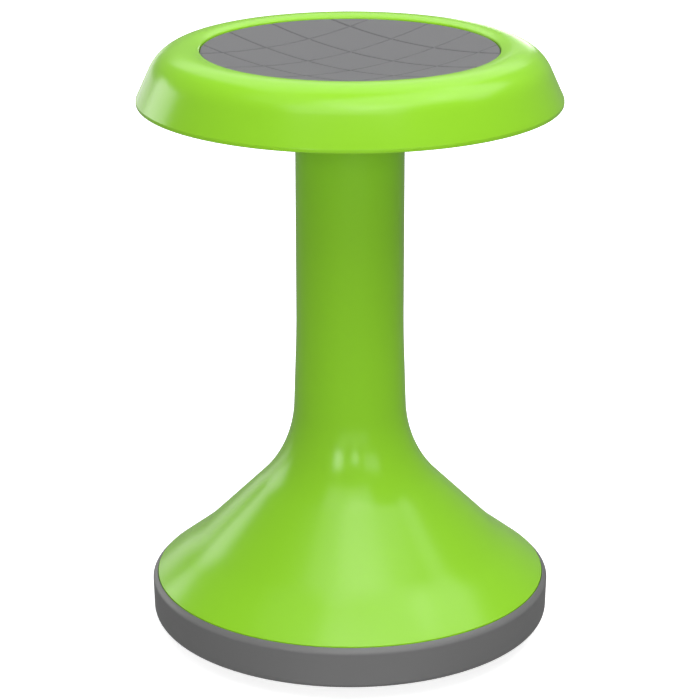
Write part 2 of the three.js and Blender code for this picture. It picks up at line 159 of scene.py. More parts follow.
# Base plate, as in the CAD model
BEAD_TOP = 24.5 * MM  # a bead inside the foot snaps into the plate's groove
BEAD_BOTTOM = 20.5 * MM
BEAD_DEPTH = 1.5 * MM
UPSTAND_TOP = 36 * MM
BASE_RIBS, BASE_RIB_TURN = 12, 15
BASE_RIB_START, BASE_RIB_END = 13 * MM, 135 * MM
HUB_INNER, HUB_OUTER = 10 * MM, 14 * MM
BALLAST_SEAT = 20 * MM
SCREW_BOSS_TOP = 30 * MM
BASE_SCREW_SEAT = 22 * MM
BOLT_BOSS, BASE_SCREW_BOSS = 9 * MM, 9.5 * MM
BOLT_BORE = 4.3 * MM
HEAD_POCKET = 7 * MM
BASE_SCREW_HOLE = 3.05 * MM

# Ballast
BALLAST_BORE = 16 * MM
BALLAST_HOLE = 4.45 * MM

# Fasteners
BASE_SCREW_CIRCLE = 128 * MM
BOLT_CIRCLE, BOLT_TURN = 50 * MM, 30
SEAT_SCREWS, BASE_SCREWS, BOLTS = 4, 6, 3
SEAT_SCREW = {"shank": 3 * MM, "head": 5.5 * MM, "head_height": 4 * MM, "key": 2.5 * MM}
BASE_SCREW = {"shank": 2.6 * MM, "head": 6 * MM, "head_height": 4 * MM, "key": 2.5 * MM}
BALLAST_BOLT = {"shank": 4 * MM, "head": 6.8 * MM, "head_height": 5.3 * MM, "key": 3.4 * MM}
SEAT_WASHER = {"outer": 7 * MM, "bore": 3.3 * MM}
BALLAST_WASHER = {"outer": 9 * MM, "bore": 4.3 * MM}
THREAD_PITCH = 1 * MM
THREAD_DEPTH = 0.45 * MM
KNURLS = 36


# ---------------------------------------------------------------- mesh helpers
def arc(centre, radius, start, end, steps):
    """Points (r, z) along an arc, with angles in radians from the outward direction."""
    angles = [start + (end - start) * i / steps for i in range(steps + 1)]
    return [(centre[0] + radius * math.cos(a), centre[1] + radius * math.sin(a)) for a in angles]


def outline(corners, default_steps=8):
    """An outline through (r, z) corners. A third number rounds a corner, a fourth is its steps."""
    points = []
    for i, corner in enumerate(corners):
        here = Vector(corner[:2])
        radius = corner[2] if len(corner) > 2 else 0
        if not radius:
            points.append(here)
            continue
        steps = corner[3] if len(corner) > 3 else default_steps
        before = (Vector(corners[i - 1][:2]) - here).normalized()
        after = (Vector(corners[(i + 1) % len(corners)][:2]) - here).normalized()
        half = before.angle(after) / 2
        reach = radius / math.tan(half)
        centre = here + (before + after).normalized() * (radius / math.sin(half))
        start = here + before * reach - centre
        end = here + after * reach - centre
        sweep = math.atan2(start.x * end.y - start.y * end.x, start.dot(end))
        for k in range(steps + 1):
            turn = sweep * k / steps
            c, s = math.cos(turn), math.sin(turn)
            points.append(centre + Vector((start.x * c - start.y * s, start.x * s + start.y * c)))
    return points


def new_object(name, vertices, faces):
    mesh = bpy.data.meshes.new(name)
    mesh.from_pydata(vertices, [], faces)
    mesh.validate()
    made = bpy.data.objects.new(name, mesh)
    bpy.context.scene.collection.objects.link(made)
    return made


def turned(name, corners, sides=SIDES):
    """A closed body turned round the upright axis from an outline of (r, z) corners."""
    points = outline(corners)
    area = sum(
        a.x * b.y - b.x * a.y for a, b in zip(points, points[1:] + points[:1])
    )
    if area < 0:
        points.reverse()
    vertices, rings = [], []
    for r, z in points:
        if r < 1e-7:
            rings.append([len(vertices)] * sides)
            vertices.append((0, 0, z))
            continue
        rings.append([len(vertices) + k for k in range(sides)])
        turns = [2 * math.pi * k / sides for k in range(sides)]
        vertices += [(r * math.cos(t), r * math.sin(t), z) for t in turns]
    faces = []
    for a, b in zip(rings, rings[1:] + rings[:1]):
        for k in range(sides):
            n = (k + 1) % sides
            corners_of_face = list(dict.fromkeys((a[k], a[n], b[n], b[k])))
            if len(corners_of_face) > 2:
                faces.append(corners_of_face)
    return new_object(name, vertices, faces)


def post(radius, bottom, top, at=(0, 0), sides=SMALL_SIDES):
    """An upright cylinder, used as a tool for holes and bosses."""
    made = turned("tool", [(0, bottom), (radius, bottom), (radius, top), (0, top)], sides)
    made.data.transform(Matrix.Translation((*at, 0)))
    return made


def bar(width, start, end, bottom, top, angle):
    """A box between two radii and two heights, turned to an angle in radians."""
    corners = [(r, s * width / 2, z) for z in (bottom, top) for r, s in
               ((start, -1), (end, -1), (end, 1), (start, 1))]
    c, s = math.cos(angle), math.sin(angle)
    vertices = [(x * c - y * s, x * s + y * c, z) for x, y, z in corners]
    faces = [(0, 3, 2, 1), (4, 5, 6, 7), (0, 1, 5, 4), (1, 2, 6, 5), (2, 3, 7, 6), (3, 0, 4, 7)]
    return new_object("tool", vertices, faces)


def combine(target, tools, operation):
    """Joins, cuts or intersects target with each tool, which is then removed."""
    for tool in tools:
        modifier = target.modifiers.new("combine", "BOOLEAN")
        modifier.operation = operation
        modifier.solver = "MANIFOLD"
        modifier.object = tool
        graph = bpy.context.evaluated_depsgraph_get()
        result = bpy.data.meshes.new_from_object(target.evaluated_get(graph))
        target.modifiers.clear()
        old = target.data
        target.data = result
        bpy.data.meshes.remove(old)
        bpy.data.objects.remove(tool)
    return target


def joined(tools):
    """Several tools that don't touch each other, as one object."""
    first = tools[0]
    whole = bmesh.new()
    for tool in tools:
        whole.from_mesh(tool.data)
    whole.to_mesh(first.data)
    whole.free()
    for tool in tools[1:]:
        bpy.data.objects.remove(tool)
    return first


def around(count, offset=0.0):
    """Angles in radians of count copies round the axis, offset in degrees."""
    return [math.radians(offset) + 2 * math.pi * i / count for i in range(count)]


def polar(radius, angle):
    return radius * math.cos(angle), radius * math.sin(angle)


def finished(piece, name, slot, *nodes):
    """Clean faces, smooth shading with crisp edges, and the piece's place in the frame."""
    clean = bmesh.new()
    clean.from_mesh(piece.data)
    bmesh.ops.remove_doubles(clean, verts=clean.verts, dist=WELD)
    bmesh.ops.triangulate(clean, faces=[face for face in clean.faces if len(face.verts) > 4])
    bmesh.ops.dissolve_degenerate(clean, dist=WELD, edges=clean.edges)
    clean.to_mesh(piece.data)
    clean.free()
    piece.name = name
    piece.data.name = name
    piece.data.shade_smooth()
    piece.data.set_sharp_from_angle(angle=SHARP)
    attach(piece, "root")
    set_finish(piece, slot)
    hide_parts(*nodes)
    return piece


# ---------------------------------------------------------------- seat shell
def rolled_edge(inset, inner_radius, lip_radius, steps):
    """The rolled edge from the skirt's foot over the crest to inner_radius, moved in by inset."""
    shoulder = (CREST_RADIUS, SEAT_TOP - SHOULDER)
    crest = (CREST_RADIUS, SEAT_TOP - CREST_ROLL)
    roll = CREST_ROLL - inset
    last = math.acos((inner_radius - CREST_RADIUS) / roll)
    outer = arc(shoulder, SHOULDER - inset, SKIRT_ANGLE, math.pi / 2, steps)
    drop = (lip_radius - outer[0][0]) / math.tan(SKIRT_ANGLE)
    inner = arc(crest, roll, math.pi / 2, last, steps // 2)[1:]
    return [(lip_radius, outer[0][1] - drop), *outer, *inner]


def seat_shell():
    outside = rolled_edge(0, RECESS_RADIUS, SEAT_RADIUS, 24)
    inside = rolled_edge(WALL, RECESS_RADIUS + WALL, SEAT_RADIUS - WALL, 14)
    underside = RECESS_FLOOR - WALL
    well_bottom = WELL_FLOOR - WALL
    well_outer = COLUMN_RADIUS - WALL - GAP
    socket = COLUMN_RADIUS + GAP
    crease = (*outside[0], 1.3 * MM, 5)
    recess_edge = (*outside[-1], 1.7 * MM, 8)
    shell = turned("seat", [
        (0, well_bottom),
        (well_outer, well_bottom, 0.8 * MM, 4),
        (well_outer, underside),
        (socket, underside),
        (socket, well_bottom),
        (socket + WALL, well_bottom, 0.8 * MM, 4),
        (socket + WALL, underside, 1 * MM, 4),
        (RECESS_RADIUS + WALL, underside, 1 * MM, 4),
        *reversed(inside),
        (SEAT_RADIUS - WALL, LIP, 1 * MM, 5),
        (SEAT_RADIUS, LIP, 1 * MM, 5),
        crease,
        *outside[1:-1],
        recess_edge,
        (RECESS_RADIUS, RECESS_FLOOR, 1 * MM, 4),
        (WELL_RADIUS, RECESS_FLOOR, 1 * MM, 4),
        (WELL_RADIUS, WELL_FLOOR, 1 * MM, 4),
        (0, WELL_FLOOR),
    ])
    rib_bottom = LIP + WALL
    middle = RECESS_FLOOR - WALL / 2
    ribs = [bar(RIB, socket + WALL / 2, SEAT_RADIUS, rib_bottom, SEAT_TOP, a)
            for a in around(SEAT_RIBS, SEAT_RIB_TURN)]
    room = turned("room", [
        (socket + WALL / 2, rib_bottom - MM),
        (SEAT_RADIUS - WALL / 2, rib_bottom - MM),
        *rolled_edge(WALL / 2, RECESS_RADIUS + WALL / 2, SEAT_RADIUS - WALL / 2, 10),
        (RECESS_RADIUS + WALL / 2, middle),
        (socket + WALL / 2, middle),
    ], 96)
    ribs = combine(joined(ribs), [room], "INTERSECT")
    combine(shell, [ribs], "UNION")
    holes = [post(SCREW_HOLE, well_bottom - MM, WELL_FLOOR + MM, polar(SCREW_CIRCLE, a))
             for a in around(SEAT_SCREWS, SCREW_TURN)]
    slots = [bar(SLOT_WIDTH, SLOT_START, SLOT_END, underside - MM, RECESS_FLOOR + MM, a)
             for a in around(HOOKS, HOOK_TURN)]
    combine(shell, [joined(holes + slots)], "DIFFERENCE")
    return finished(shell, "seat_shell_smooth", "green_plastic", "seat_shell")


# ---------------------------------------------------------------- seat pad
def pad_top(r):
    return PAD_EDGE - PAD_DISH * (1 - (r / PAD_RADIUS) ** 2)


GROOVES = [(i + 0.5) * GROOVE_PITCH for i in range(-2, 2)]


def groove_depth(u):
    """How deep a line of grooves cuts at a distance u across the pad."""
    nearest = min(abs(u - g) for g in GROOVES)
    if nearest >= GROOVE_HALF_WIDTH:
        return 0.0
    return GROOVE_DEPTH * math.cos(nearest / GROOVE_HALF_WIDTH * math.pi / 2) ** 0.8


def grid_lines(step=4 * MM, reach=116 * MM):
    """Grid positions across the pad: close together at each groove, wider between."""
    near = [g + GROOVE_HALF_WIDTH * k / 3 for g in GROOVES for k in range(-3, 4)]
    near += [g + side * 1.5 * MM for g in GROOVES for side in (-1, 1)]
    count = round(2 * reach / step)
    plain = [-reach + 2 * reach * i / count for i in range(count + 1)]
    clear = 2.2 * MM
    plain = [p for p in plain if min(abs(p - g) for g in GROOVES) > clear]
    return sorted(near + plain)


def seat_pad():
    lines = grid_lines()
    n = len(lines)
    diagonal = math.sqrt(0.5)
    top, bottom = [], []
    for u in lines:
        for v in lines:
            x, y = (u - v) * diagonal, (u + v) * diagonal
            surface = pad_top(math.hypot(x, y))
            top.append((x, y, surface - max(groove_depth(u), groove_depth(v))))
            bottom.append((x, y, surface - PAD_SKIN))
    faces = []
    size = n * n
    for i in range(n - 1):
        for j in range(n - 1):
            a, b, c, d = i * n + j, (i + 1) * n + j, (i + 1) * n + j + 1, i * n + j + 1
            faces += [(a, b, c, d), (size + d, size + c, size + b, size + a)]
    rim = [i * n for i in range(n)] + [(n - 1) * n + j for j in range(1, n)]
    rim += [i * n + n - 1 for i in range(n - 2, -1, -1)] + list(range(n - 2, 0, -1))
    for a, b in zip(rim, rim[1:] + rim[:1]):
        faces.append((b, a, size + a, size + b))
    skin = new_object("pad", top + bottom, faces)
    edge_start = PAD_RADIUS - PAD_ROUND
    high = PAD_EDGE + 5 * MM
    trim = turned("trim", [
        (0, PAD_BOTTOM - 9 * MM),
        (PAD_RADIUS, PAD_BOTTOM - 9 * MM),
        (PAD_RADIUS, PAD_EDGE, PAD_ROUND, 6),
        (edge_start - 0.02 * MM, pad_top(edge_start) + 0.01 * MM),
        (edge_start - 0.02 * MM, high),
        (0, high),
    ])
    combine(skin, [trim], "INTERSECT")
    inner = PAD_RADIUS - PAD_SKIN
    flange = turned("flange", [
        (inner, PAD_BOTTOM),
        (PAD_RADIUS, PAD_BOTTOM),
        (PAD_RADIUS, PAD_EDGE - 2.2 * MM),
        (inner, PAD_EDGE - 2.2 * MM),
    ])
    combine(skin, [flange], "UNION")
    pad = finished(skin, "seat_pad_grooved", "pad_skin", "seat_pad")
    return pad


# ---------------------------------------------------------------- pedestal
def meet(p, angle_p, q, angle_q):
    """Where two lines in the (r, z) plane meet, each a point and an angle off vertical."""
    slope_p, slope_q = math.tan(angle_p), math.tan(angle_q)
    z = (p[0] + slope_p * p[1] - q[0] - slope_q * q[1]) / (slope_p - slope_q)
    return p[0] + slope_p * (p[1] - z), z


def trumpet(inset, top, edge_radius):
    """The pedestal's outline from the column's top to the flare's edge, moved in by inset."""
    def shift(point, angle):
        return point[0] - inset * math.cos(angle), point[1] - inset * math.sin(angle)

    straight = (COLUMN_RADIUS - inset, top)
    draft = shift((COLUMN_RADIUS, DRAFT_START), DRAFT_ANGLE)
    cone = shift((CONE_SUM / 2, CONE_SUM / 2), CONE_ANGLE)
    flare = shift((FLARE_EDGE, FLARE_EDGE_HEIGHT), FLARE_ANGLE)
    return [
        straight,
        (*meet(straight, 0, draft, DRAFT_ANGLE), 900 * MM, 6),
        (*meet(draft, DRAFT_ANGLE, cone, CONE_ANGLE), NECK_RADIUS + inset, 36),
        (*meet(cone, CONE_ANGLE, flare, FLARE_ANGLE), FLARE_BEND + inset, 10),
        meet((edge_radius, 0), 0, flare, FLARE_ANGLE),
    ]


def pedestal_shell():
    plate_bottom = PLATE_TOP - TOP_PLATE
    inner = COLUMN_RADIUS - WALL
    edge = trumpet(0, COLUMN_TOP, FLARE_EDGE)
    edge[-1] = (*edge[-1], 0.8 * MM, 5)
    shell = turned("pedestal", [
        *edge,
        (FLARE_EDGE, RIM_BOTTOM),
        (FLARE_EDGE - WALL, RIM_BOTTOM),
        *reversed(trumpet(WALL, plate_bottom, FLARE_EDGE - WALL)),
        (TOP_PLATE_HOLE, plate_bottom),
        (TOP_PLATE_HOLE, PLATE_TOP),
        (inner, PLATE_TOP),
        (inner, COLUMN_TOP),
    ])
    insert_bottom = PLATE_TOP - GAP - INSERT_DEPTH
    bosses = [post(TOP_BOSS_RADIUS, insert_bottom - TOP_BOSS_DEPTH, PLATE_TOP - MM,
                   polar(SCREW_CIRCLE, a)) for a in around(SEAT_SCREWS, SCREW_TURN)]
    combine(shell, [joined(bosses)], "UNION")
    bores = []
    for a in around(SEAT_SCREWS, SCREW_TURN):
        bore = turned("tool", [
            (0, insert_bottom - SHANK_DEPTH),
            (SCREW_HOLE, insert_bottom - SHANK_DEPTH),
            (SCREW_HOLE, insert_bottom - GAP),
            (INSERT_POCKET, insert_bottom - GAP),
            (INSERT_POCKET, PLATE_TOP + MM),
            (0, PLATE_TOP + MM),
        ], SMALL_SIDES)
        bore.data.transform(Matrix.Translation((*polar(SCREW_CIRCLE, a), 0)))
        bores.append(bore)
    combine(shell, [joined(bores)], "DIFFERENCE")
    room = turned("room", [
        (0, SUPPORT_BOTTOM),
        (FLARE_EDGE - WALL / 2, SUPPORT_BOTTOM),
        *reversed(trumpet(WALL / 2, COLUMN_TOP, FLARE_EDGE - WALL / 2)),
        (0, COLUMN_TOP),
    ], 128)
    supports = joined([post(SUPPORT_RADIUS, SUPPORT_BOTTOM - MM, SUPPORT_TOP,
                            polar(BASE_SCREW_CIRCLE, a)) for a in around(BASE_SCREWS)])
    gussets = joined([bar(RIB, BASE_SCREW_CIRCLE - GUSSET_REACH, FLARE_EDGE, GUSSET_BOTTOM,
                          GUSSET_TOP, a) for a in around(BASE_SCREWS)])
    combine(supports, [gussets], "UNION")
    combine(supports, [room], "INTERSECT")
    combine(shell, [supports], "UNION")
    screw_bores = [post(SUPPORT_BORE, SUPPORT_BOTTOM - MM, SUPPORT_BORE_TOP,
                        polar(BASE_SCREW_CIRCLE, a)) for a in around(BASE_SCREWS)]
    combine(shell, [joined(screw_bores)], "DIFFERENCE")
    return finished(shell, "pedestal_shell_smooth", "green_plastic", "pedestal_shell")


# ---------------------------------------------------------------- rubber foot
def sphere_rise(r):
    return DOME_RADIUS - math.sqrt(DOME_RADIUS**2 - r**2)


def dome_height(r):
    return max(0.0, sphere_rise(r) - sphere_rise(FLAT_RADIUS))


def dome(radii, lift=0.0):
    return [(r, dome_height(r) + lift) for r in radii]


def sipe(start, end, angle):
    """A tool for a fine radial cut in the sole, following the dome between two radii."""
    steps = 6
    start, end = start + 0.4 * MM, end - 0.4 * MM
    radii = [start + (end - start) * i / steps for i in range(steps + 1)]
    across = Vector((-math.sin(angle), math.cos(angle), 0)) * SIPE_WIDTH / 2
    vertices = []
    for r in radii:
        x, y = polar(r, angle)
        low = Vector((x, y, dome_height(r) - 2 * MM))
        high = Vector((x, y, dome_height(r) + SIPE_DEPTH))
        vertices += [low - across, low + across, high + across, high - across]
    faces = [(3, 2, 1, 0), tuple(4 * steps + k for k in range(4))]
    for i in range(steps):
        for k in range(4):
            n = (k + 1) % 4
            faces.append((4 * i + k, 4 * i + n, 4 * i + 4 + n, 4 * i + 4 + k))
    return new_object("tool", vertices, faces)


def rubber_foot():
    bore = FLARE_EDGE + GAP
    stations = [i * 10 * MM for i in range(14)]
    body = turned("foot", [
        (0, 0),
        (FLAT_RADIUS, 0),
        *dome([i * 5 * MM for i in range(6, 30)]),
        (FOOT_LOW_RADIUS, dome_height(FOOT_LOW_RADIUS), FOOT_CORNER, 12),
        (FOOT_RADIUS, FOOT_SHOULDER, 3 * MM, 8),
        (bore, FLARE_EDGE_HEIGHT - GAP, 0.3 * MM, 3),
        (bore, BEAD_TOP),
        (bore - BEAD_DEPTH, BEAD_TOP - BEAD_DEPTH / 2),
        (bore - BEAD_DEPTH, BEAD_BOTTOM + BEAD_DEPTH / 2),
        (bore, BEAD_BOTTOM),
        *reversed(dome([*stations, bore], SOLE)),
    ])
    rings = [turned("tool", [
        (r - TREAD_HALF_WIDTH, dome_height(r) - 2 * MM),
        (r + TREAD_HALF_WIDTH, dome_height(r) - 2 * MM),
        (r + TREAD_HALF_WIDTH, dome_height(r) + TREAD_DEPTH, 0.5 * MM, 4),
        (r - TREAD_HALF_WIDTH, dome_height(r) + TREAD_DEPTH, 0.5 * MM, 4),
    ]) for r in TREAD_RINGS]
    combine(body, [joined(rings)], "DIFFERENCE")
    inner, middle, outer = TREAD_RINGS
    sipes = [sipe(inner, middle, a) for a in around(SIPES // 2)]
    sipes += [sipe(middle, outer, a) for a in around(SIPES)]
    combine(body, [joined(sipes)], "DIFFERENCE")
    return finished(body, "rubber_foot_smooth", "foot_rubber", "rubber_foot")


# ---------------------------------------------------------------- inside the seat
def pad_foam():
    """The foam insert: a dished block with soft edges and the slight waviness of cut foam."""
    low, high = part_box("pad_foam")
    edge = high.x
    gap = PAD_SKIN + GAP
    radii = [edge * i / 24 for i in range(24)]
    block = turned("foam", [
        *[(r, pad_top(r) - gap) for r in radii],
        (edge, pad_top(edge) - gap, 2 * MM, 5),
        (edge, low.z, 2 * MM, 5),
        *[(r, low.z) for r in reversed(radii)],
    ], 128)
    middle = (low.z + high.z) / 2
    for vertex in block.data.vertices:
        wave = 0.3 * MM * (1 + noise.noise(vertex.co / (11 * MM)))
        vertex.co.z += wave if vertex.co.z < middle else -wave
    foam = finished(block, "pad_foam_block", "foam", "pad_foam")
    return foam


def pad_backing_plate():
    low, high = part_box("pad_backing_plate")
    bottom = RECESS_FLOOR + GAP
    disc = turned("backing", [
        (0, bottom),
        (PAD_RADIUS, bottom, 0.6 * MM, 4),
        (PAD_RADIUS, high.z, 0.6 * MM, 4),
        (0, high.z),
    ])
    catch_top = RECESS_FLOOR - WALL - GAP
    leg_end = HOOK_START + HOOK_THICKNESS
    for a in around(HOOKS, HOOK_TURN):
        leg = bar(HOOK_WIDTH, HOOK_START, leg_end, low.z, bottom + MM, a)
        tooth = bar(HOOK_WIDTH, leg_end - MM, HOOK_START + HOOK_REACH, low.z, catch_top, a)
        combine(disc, [leg, tooth], "UNION")
    return finished(disc, "pad_backing_plate_smooth", "dark_plastic", "pad_backing_plate")


# ---------------------------------------------------------------- inside the base
def base_plate():
    rim = FLARE_EDGE
    upstand = FLARE_EDGE - WALL - GAP
    groove = rim - BEAD_DEPTH
    lift = SOLE + GAP
    stations = [i * 10 * MM for i in range(14)]
    plate = turned("base", [
        *dome([*stations, rim], lift),
        (rim, BEAD_BOTTOM - GAP),
        (groove, BEAD_BOTTOM - GAP + BEAD_DEPTH / 2),
        (groove, BEAD_TOP + GAP - BEAD_DEPTH / 2),
        (rim, BEAD_TOP + GAP),
        (rim, RIM_BOTTOM - GAP, 0.3 * MM, 3),
        (upstand, RIM_BOTTOM - GAP),
        (upstand, UPSTAND_TOP, 1 * MM, 5),
        (upstand - WALL, UPSTAND_TOP, 1 * MM, 5),
        *reversed(dome([*stations, upstand - WALL], lift + WALL)),
    ])
    floor = lift + WALL / 2
    ribs = [bar(RIB, BASE_RIB_START, BASE_RIB_END, floor, BALLAST_SEAT, a)
            for a in around(BASE_RIBS, BASE_RIB_TURN)]
    hub = turned("tool", [
        (HUB_INNER, floor),
        (HUB_OUTER, floor),
        (HUB_OUTER, BALLAST_SEAT),
        (HUB_INNER, BALLAST_SEAT),
    ], 96)
    room = turned("room", [*dome([0, *stations[6:], rim], floor), (rim, 1), (0, 1)], 128)
    bosses = [post(BOLT_BOSS, floor, BALLAST_SEAT, polar(BOLT_CIRCLE, a))
              for a in around(BOLTS, BOLT_TURN)]
    bosses += [post(BASE_SCREW_BOSS, floor + 8 * MM, SCREW_BOSS_TOP, polar(BASE_SCREW_CIRCLE, a))
               for a in around(BASE_SCREWS)]
    stiffening = combine(hub, [joined(ribs), joined(bosses)], "UNION")
    combine(stiffening, [room], "INTERSECT")
    combine(plate, [stiffening], "UNION")
    bores = [post(BOLT_BORE, 12 * MM, BALLAST_SEAT + MM, polar(BOLT_CIRCLE, a))
             for a in around(BOLTS, BOLT_TURN)]
    heads = [post(HEAD_POCKET, 0, BASE_SCREW_SEAT, polar(BASE_SCREW_CIRCLE, a))
             for a in around(BASE_SCREWS)]
    holes = [post(BASE_SCREW_HOLE, BASE_SCREW_SEAT - MM, SCREW_BOSS_TOP + MM,
                  polar(BASE_SCREW_CIRCLE, a)) for a in around(BASE_SCREWS)]
    combine(plate, [joined(bores + heads)], "DIFFERENCE")
    combine(plate, [joined(holes)], "DIFFERENCE")
    return finished(plate, "base_plate_smooth", "dark_plastic", "base_plate")


def ballast_disc():
    low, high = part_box("ballast_disc")
    disc = turned("ballast", [
        (BALLAST_BORE, low.z, 1 * MM, 4),
        (high.x, low.z, 1 * MM, 4),
        (high.x, high.z, 2 * MM, 6),
        (BALLAST_BORE, high.z, 1 * MM, 4),
    ])
    holes = [post(BALLAST_HOLE, low.z - MM, high.z + MM, polar(BOLT_CIRCLE, a))
             for a in around(BOLTS, BOLT_TURN)]
    combine(disc, [joined(holes)], "DIFFERENCE")
    return finished(disc, "ballast_disc_cast", "ballast_iron", "ballast_disc")


# ---------------------------------------------------------------- fasteners
def placed(piece, node, bottom, turned_over=False):
    """Puts a piece made round the origin on the axis of its CAD node, at a height."""
    low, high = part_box(node)
    if turned_over:
        piece.data.transform(Matrix.Rotation(math.pi, 4, "X"))
    middle = (low + high) / 2
    piece.data.transform(Matrix.Translation((middle.x, middle.y, bottom)))
    return piece


def screw(node, shank, head, head_height, key, turned_over=False):
    """A socket-head screw with its threads, which reach two thirds of the way up the shank."""
    low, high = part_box(node)
    length = high.z - low.z - head_height
    threads = round(length * 2 / 3 / THREAD_PITCH)
    start = -length + shank / 2
    shape = [(0, -length), (shank / 2, -length)]
    for i in range(threads):
        z = start + i * THREAD_PITCH
        shape += [(shank - THREAD_DEPTH, z), (shank, z + THREAD_PITCH / 2)]
    shape += [
        (shank - THREAD_DEPTH, start + threads * THREAD_PITCH),
        (shank, start + (threads + 0.5) * THREAD_PITCH),
        (shank, 0),
        (head, 0, 0.3 * MM, 3),
        (head, head_height, 0.9 * MM, 5),
        (0, head_height),
    ]
    body = turned("screw", shape, SMALL_SIDES)
    combine(body, [post(key, head_height / 2, head_height + MM, sides=6)], "DIFFERENCE")
    seat = low.z + head_height if turned_over else high.z - head_height
    placed(body, node, seat, turned_over)
    return finished(body, node + "_threaded", "zinc_steel", node)


def washer(node, outer, bore):
    low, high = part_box(node)
    thick = high.z - low.z
    edge = 0.25 * MM
    body = turned("washer", [
        (bore, 0, edge, 3),
        (outer, 0, edge, 3),
        (outer, thick, edge, 3),
        (bore, thick, edge, 3),
    ], SMALL_SIDES)
    placed(body, node, low.z)
    return finished(body, node + "_stamped", "zinc_steel", node)


def insert(node):
    """A brass insert with a knurled outside either side of a waist."""
    low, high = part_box(node)
    height = high.z - low.z
    outer, waist, bore = 4.6 * MM, 4 * MM, 3.3 * MM
    middle = height / 2
    body = turned("insert", [
        (bore, 0), (outer, 0, 0.4 * MM, 3), (outer, middle - 1.2 * MM), (waist, middle - 0.6 * MM),
        (waist, middle + 0.6 * MM), (outer, middle + 1.2 * MM), (outer, height, 0.4 * MM, 3),
        (bore, height),
    ], 2 * KNURLS)
    for vertex in body.data.vertices:
        across = vertex.co.to_2d()
        step = round(math.atan2(across.y, across.x) / (math.pi / KNURLS))
        if across.length > waist + 0.1 * MM and step % 2:
            vertex.co.x *= 0.95
            vertex.co.y *= 0.95
    placed(body, node, low.z)
    return finished(body, node + "_knurled", "insert_brass", node)


def fasteners():
    for i in range(1, SEAT_SCREWS + 1):
        screw(f"seat_screw_{i}", **SEAT_SCREW)
        washer(f"seat_washer_{i}", **SEAT_WASHER)
        insert(f"seat_insert_{i}")
    for i in range(1, BASE_SCREWS + 1):
        screw(f"base_screw_{i}", **BASE_SCREW, turned_over=True)
    for i in range(1, BOLTS + 1):
        screw(f"ballast_bolt_{i}", **BALLAST_BOLT)
        washer(f"ballast_washer_{i}", **BALLAST_WASHER)


# ---------------------------------------------------------------- materials
def linear(r, g, b):
    """An sRGB colour of 0 to 255 as linear RGBA."""
    def one(c):
        c /= 255
        return c / 12.92 if c <= 0.04045 else ((c + 0.055) / 1.055) ** 2.4
    return one(r), one(g), one(b), 1.0


def material(name, colour, roughness, grain=0.4, grain_depth=0.02, tint=0.03, gloss_wander=0.04,
             **sockets):
    """Moulded or cast surface. colour varies by tint over centimetres, roughness by gloss_wander,
    and a grain of the given size in mm stands grain_depth mm proud."""
    made = bpy.data.materials.new(name)
    made.use_nodes = True
    nodes, links = made.node_tree.nodes, made.node_tree.links
    shader = nodes["Principled BSDF"]
    for socket, value in sockets.items():
        shader.inputs[socket.replace("_", " ")].default_value = value
    where = nodes.new("ShaderNodeTexCoord")
    clouds = nodes.new("ShaderNodeTexNoise")
    clouds.inputs["Scale"].default_value = 14
    clouds.inputs["Detail"].default_value = 3
    links.new(where.outputs["Object"], clouds.inputs["Vector"])
    shade = nodes.new("ShaderNodeMix")
    shade.data_type = "RGBA"
    shade.inputs["A"].default_value = tuple(c * (1 - tint) for c in colour[:3]) + (1,)
    shade.inputs["B"].default_value = tuple(min(1, c * (1 + tint)) for c in colour[:3]) + (1,)
    links.new(clouds.outputs["Fac"], shade.inputs["Factor"])
    links.new(shade.outputs["Result"], shader.inputs["Base Color"])
    speckle = nodes.new("ShaderNodeTexNoise")
    speckle.inputs["Scale"].default_value = 1 / (grain * MM)
    speckle.inputs["Detail"].default_value = 2
    links.new(where.outputs["Object"], speckle.inputs["Vector"])
    gloss = nodes.new("ShaderNodeMapRange")
    gloss.inputs["To Min"].default_value = roughness - gloss_wander
    gloss.inputs["To Max"].default_value = roughness + gloss_wander
    links.new(clouds.outputs["Fac"], gloss.inputs["Value"])
    links.new(gloss.outputs["Result"], shader.inputs["Roughness"])
    bump = nodes.new("ShaderNodeBump")
    bump.inputs["Strength"].default_value = 1.0
    bump.inputs["Distance"].default_value = grain_depth * MM
    links.new(speckle.outputs["Fac"], bump.inputs["Height"])
    links.new(bump.outputs["Normal"], shader.inputs["Normal"])
    return made


GREEN = (0.295, 0.68, 0.021, 1.0)
MATERIALS = {
    "green_plastic": material("green_plastic", GREEN, 0.22, grain=0.5, grain_depth=0.003,
                              tint=0.006, gloss_wander=0.01, IOR=1.45),
    "pad_skin": material("pad_skin", linear(107, 107, 109), 0.62, grain=0.45, grain_depth=0.03,
                         tint=0.02),
    "foam": material("foam", linear(216, 208, 186), 0.95, grain=0.8, grain_depth=0.25, tint=0.06),
    "dark_plastic": material("dark_plastic", linear(48, 49, 52), 0.5, grain=0.4, grain_depth=0.015),
    "foot_rubber": material("foot_rubber", linear(115, 115, 115), 0.42, grain=0.35,
                            grain_depth=0.02, tint=0.02),
    "ballast_iron": material("ballast_iron", linear(62, 62, 64), 0.6, grain=1.4, grain_depth=0.12,
                             tint=0.12, Metallic=0.6),
    "zinc_steel": material("zinc_steel", linear(190, 192, 194), 0.3, grain=0.6, grain_depth=0.01,
                           tint=0.05, Metallic=1.0),
    "insert_brass": material("insert_brass", linear(201, 166, 84), 0.32, grain=0.5,
                             grain_depth=0.01, tint=0.04, Metallic=1.0),
}


def paint(piece, slot):
    piece.data.materials.clear()
    piece.data.materials.append(MATERIALS[slot])


# ---------------------------------------------------------------- camera, floor and light
CAMERA_DISTANCE = 1.903
CAMERA_HEIGHT = 0.875
CAMERA_PITCH = math.radians(18.84)
CAMERA_LENS = 133.9


